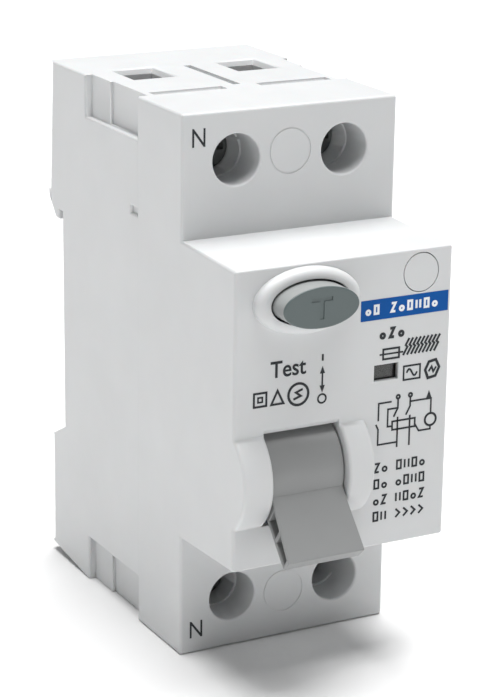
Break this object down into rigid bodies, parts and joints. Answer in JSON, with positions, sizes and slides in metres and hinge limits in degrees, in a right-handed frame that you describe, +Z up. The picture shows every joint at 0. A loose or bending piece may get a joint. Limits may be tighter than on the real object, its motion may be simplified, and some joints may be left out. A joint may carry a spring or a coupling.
{
  "type": "residual current device",
  "caption": "Modular residual current device for rail mounting, with toggle, oval test button, sunk terminal screws and working mechanism.",
  "frame": {"origin": "middle of the rail seat, on the rail's centre line and the device's middle plane", "axes": "X to the right along the rail, +Y towards the mounting rail, so the front faces -Y, +Z up towards the line terminals"},
  "size_m": [0.0358, 0.0743, 0.0839],
  "materials": {
    "housing_white": "satin",
    "lever_grey": "satin",
    "button_grey": "satin",
    "clip_grey": "satin",
    "dark_plastic": "satin",
    "window_clear": "polished",
    "flag_colour": "satin",
    "steel": "plated",
    "copper": "bright",
    "brass": "bright",
    "silver_contact": "bright",
    "fibre_board": "matt",
    "core_iron": "satin",
    "wire_blue": "satin",
    "wire_red": "satin",
    "resistor_body": "lacquered"
  },
  "bodies": {
    "housing": {"base_housing": "housing_white", "front_cover": "housing_white", "housing_screws": "steel", "calibration_plug": "housing_white", "indicator_window": "window_clear", "rail_clip_spring": "steel", "toggle_axle": "steel", "toggle_spring": "steel", "test_button_spring": "steel", "test_contact_blade": "brass", "test_contact_post": "brass", "test_resistor": "resistor_body", "test_lead": "steel", "mechanism_frame": "dark_plastic", "pole_barrier": "fibre_board", "fixed_contact_tips": "silver_contact", "flexible_braids": "copper", "upper_terminal_bars": "copper", "lower_terminal_bars": "copper", "primary_conductors": "wire_blue", "transformer_core": "core_iron", "transformer_case": "dark_plastic", "secondary_winding": "copper", "secondary_leads": "wire_red", "relay_case": "dark_plastic", "relay_coil": "copper", "latch_axle": "steel", "latch_spring": "steel"},
    "toggle": {"toggle_lever": "lever_grey", "crank_pin": "steel"},
    "link": {"drive_link": "steel"},
    "contacts": {"contact_shaft": "dark_plastic", "moving_contact_arms": "copper", "moving_contact_tips": "silver_contact", "contact_springs": "steel"},
    "flag": {"indicator_flag": "flag_colour"},
    "button": {"test_button": "button_grey"},
    "clip": {"rail_clip": "clip_grey"},
    "plunger": {"relay_plunger": "steel"},
    "latch": {"trip_latch": "steel"},
    "upper_left_screw_body": {"upper_left_screw": "steel"},
    "upper_left_cage_body": {"upper_left_cage": "steel"},
    "upper_right_screw_body": {"upper_right_screw": "steel"},
    "upper_right_cage_body": {"upper_right_cage": "steel"},
    "lower_left_screw_body": {"lower_left_screw": "steel"},
    "lower_left_cage_body": {"lower_left_cage": "steel"},
    "lower_right_screw_body": {"lower_right_screw": "steel"},
    "lower_right_cage_body": {"lower_right_cage": "steel"}
  },
  "joints": [
    {"name": "toggle_swing", "type": "hinge", "parent": "housing", "child": "toggle", "pos_m": [-0.0068, -0.05485, -0.0092], "axis": [-1, 0, 0], "range_deg": [0, 62]},
    {"name": "link_swing", "type": "hinge", "parent": "toggle", "child": "link", "pos_m": [-0.0044, -0.05066, -0.00648], "axis": [-1, 0, 0], "range_deg": [-80, 2]},
    {"name": "contact_swing", "type": "hinge", "parent": "housing", "child": "contacts", "pos_m": [0, -0.027, 0.008], "axis": [-1, 0, 0], "range_deg": [0, 20.2]},
    {"name": "flag_slide", "type": "slide", "parent": "housing", "child": "flag", "axis": [0, 0, -1], "range_m": [0, 0.00275]},
    {"name": "test_press", "type": "slide", "parent": "housing", "child": "button", "axis": [0, 1, 0], "range_m": [0, 0.0018], "stiffness_N_per_m": 600, "springref_m": -0.002, "deforming": ["test_button_spring"]},
    {"name": "clip_pull", "type": "slide", "parent": "housing", "child": "clip", "axis": [0, 0, -1], "range_m": [0, 0.0025], "stiffness_N_per_m": 1500, "springref_m": -0.002, "deforming": ["rail_clip_spring"]},
    {"name": "plunger_slide", "type": "slide", "parent": "housing", "child": "plunger", "axis": [0, 0, 1], "range_m": [0, 0.0015], "stiffness_N_per_m": 300, "springref_m": -0.001},
    {"name": "latch_swing", "type": "hinge", "parent": "housing", "child": "latch", "pos_m": [0.0096, -0.0372, -0.0016], "axis": [-1, 0, 0], "range_deg": [0, 13.5]},
    {"name": "upper_left_screw_turn", "type": "hinge", "parent": "housing", "child": "upper_left_screw_body", "pos_m": [-0.009, -0.03, 0.0342], "axis": [0, 1, 0], "range_deg": [0, 2160]},
    {"name": "upper_left_cage_slide", "type": "slide", "parent": "housing", "child": "upper_left_cage_body", "axis": [0, -1, 0], "range_m": [0, 0.0049]},
    {"name": "upper_right_screw_turn", "type": "hinge", "parent": "housing", "child": "upper_right_screw_body", "pos_m": [0.009, -0.03, 0.0342], "axis": [0, 1, 0], "range_deg": [0, 2160]},
    {"name": "upper_right_cage_slide", "type": "slide", "parent": "housing", "child": "upper_right_cage_body", "axis": [0, -1, 0], "range_m": [0, 0.0049]},
    {"name": "lower_left_screw_turn", "type": "hinge", "parent": "housing", "child": "lower_left_screw_body", "pos_m": [-0.009, -0.03, -0.0342], "axis": [0, 1, 0], "range_deg": [0, 2160]},
    {"name": "lower_left_cage_slide", "type": "slide", "parent": "housing", "child": "lower_left_cage_body", "axis": [0, -1, 0], "range_m": [0, 0.0049]},
    {"name": "lower_right_screw_turn", "type": "hinge", "parent": "housing", "child": "lower_right_screw_body", "pos_m": [0.009, -0.03, -0.0342], "axis": [0, 1, 0], "range_deg": [0, 2160]},
    {"name": "lower_right_cage_slide", "type": "slide", "parent": "housing", "child": "lower_right_cage_body", "axis": [0, -1, 0], "range_m": [0, 0.0049]}
  ],
  "couplings": [
    {"joint": "link_swing", "follows": "toggle_swing", "ratio": -1.2292},
    {"joint": "contact_swing", "follows": "toggle_swing", "ratio": 0.32258},
    {"joint": "flag_slide", "follows": "toggle_swing", "m_per_rad": 0.002495},
    {"joint": "latch_swing", "follows": "plunger_slide", "rad_per_m": 156},
    {"joint": "upper_left_cage_slide", "follows": "upper_left_screw_turn", "m_per_rad": 0.00012732},
    {"joint": "upper_right_cage_slide", "follows": "upper_right_screw_turn", "m_per_rad": 0.00012732},
    {"joint": "lower_left_cage_slide", "follows": "lower_left_screw_turn", "m_per_rad": 0.00012732},
    {"joint": "lower_right_cage_slide", "follows": "lower_right_screw_turn", "m_per_rad": 0.00012732}
  ]
}
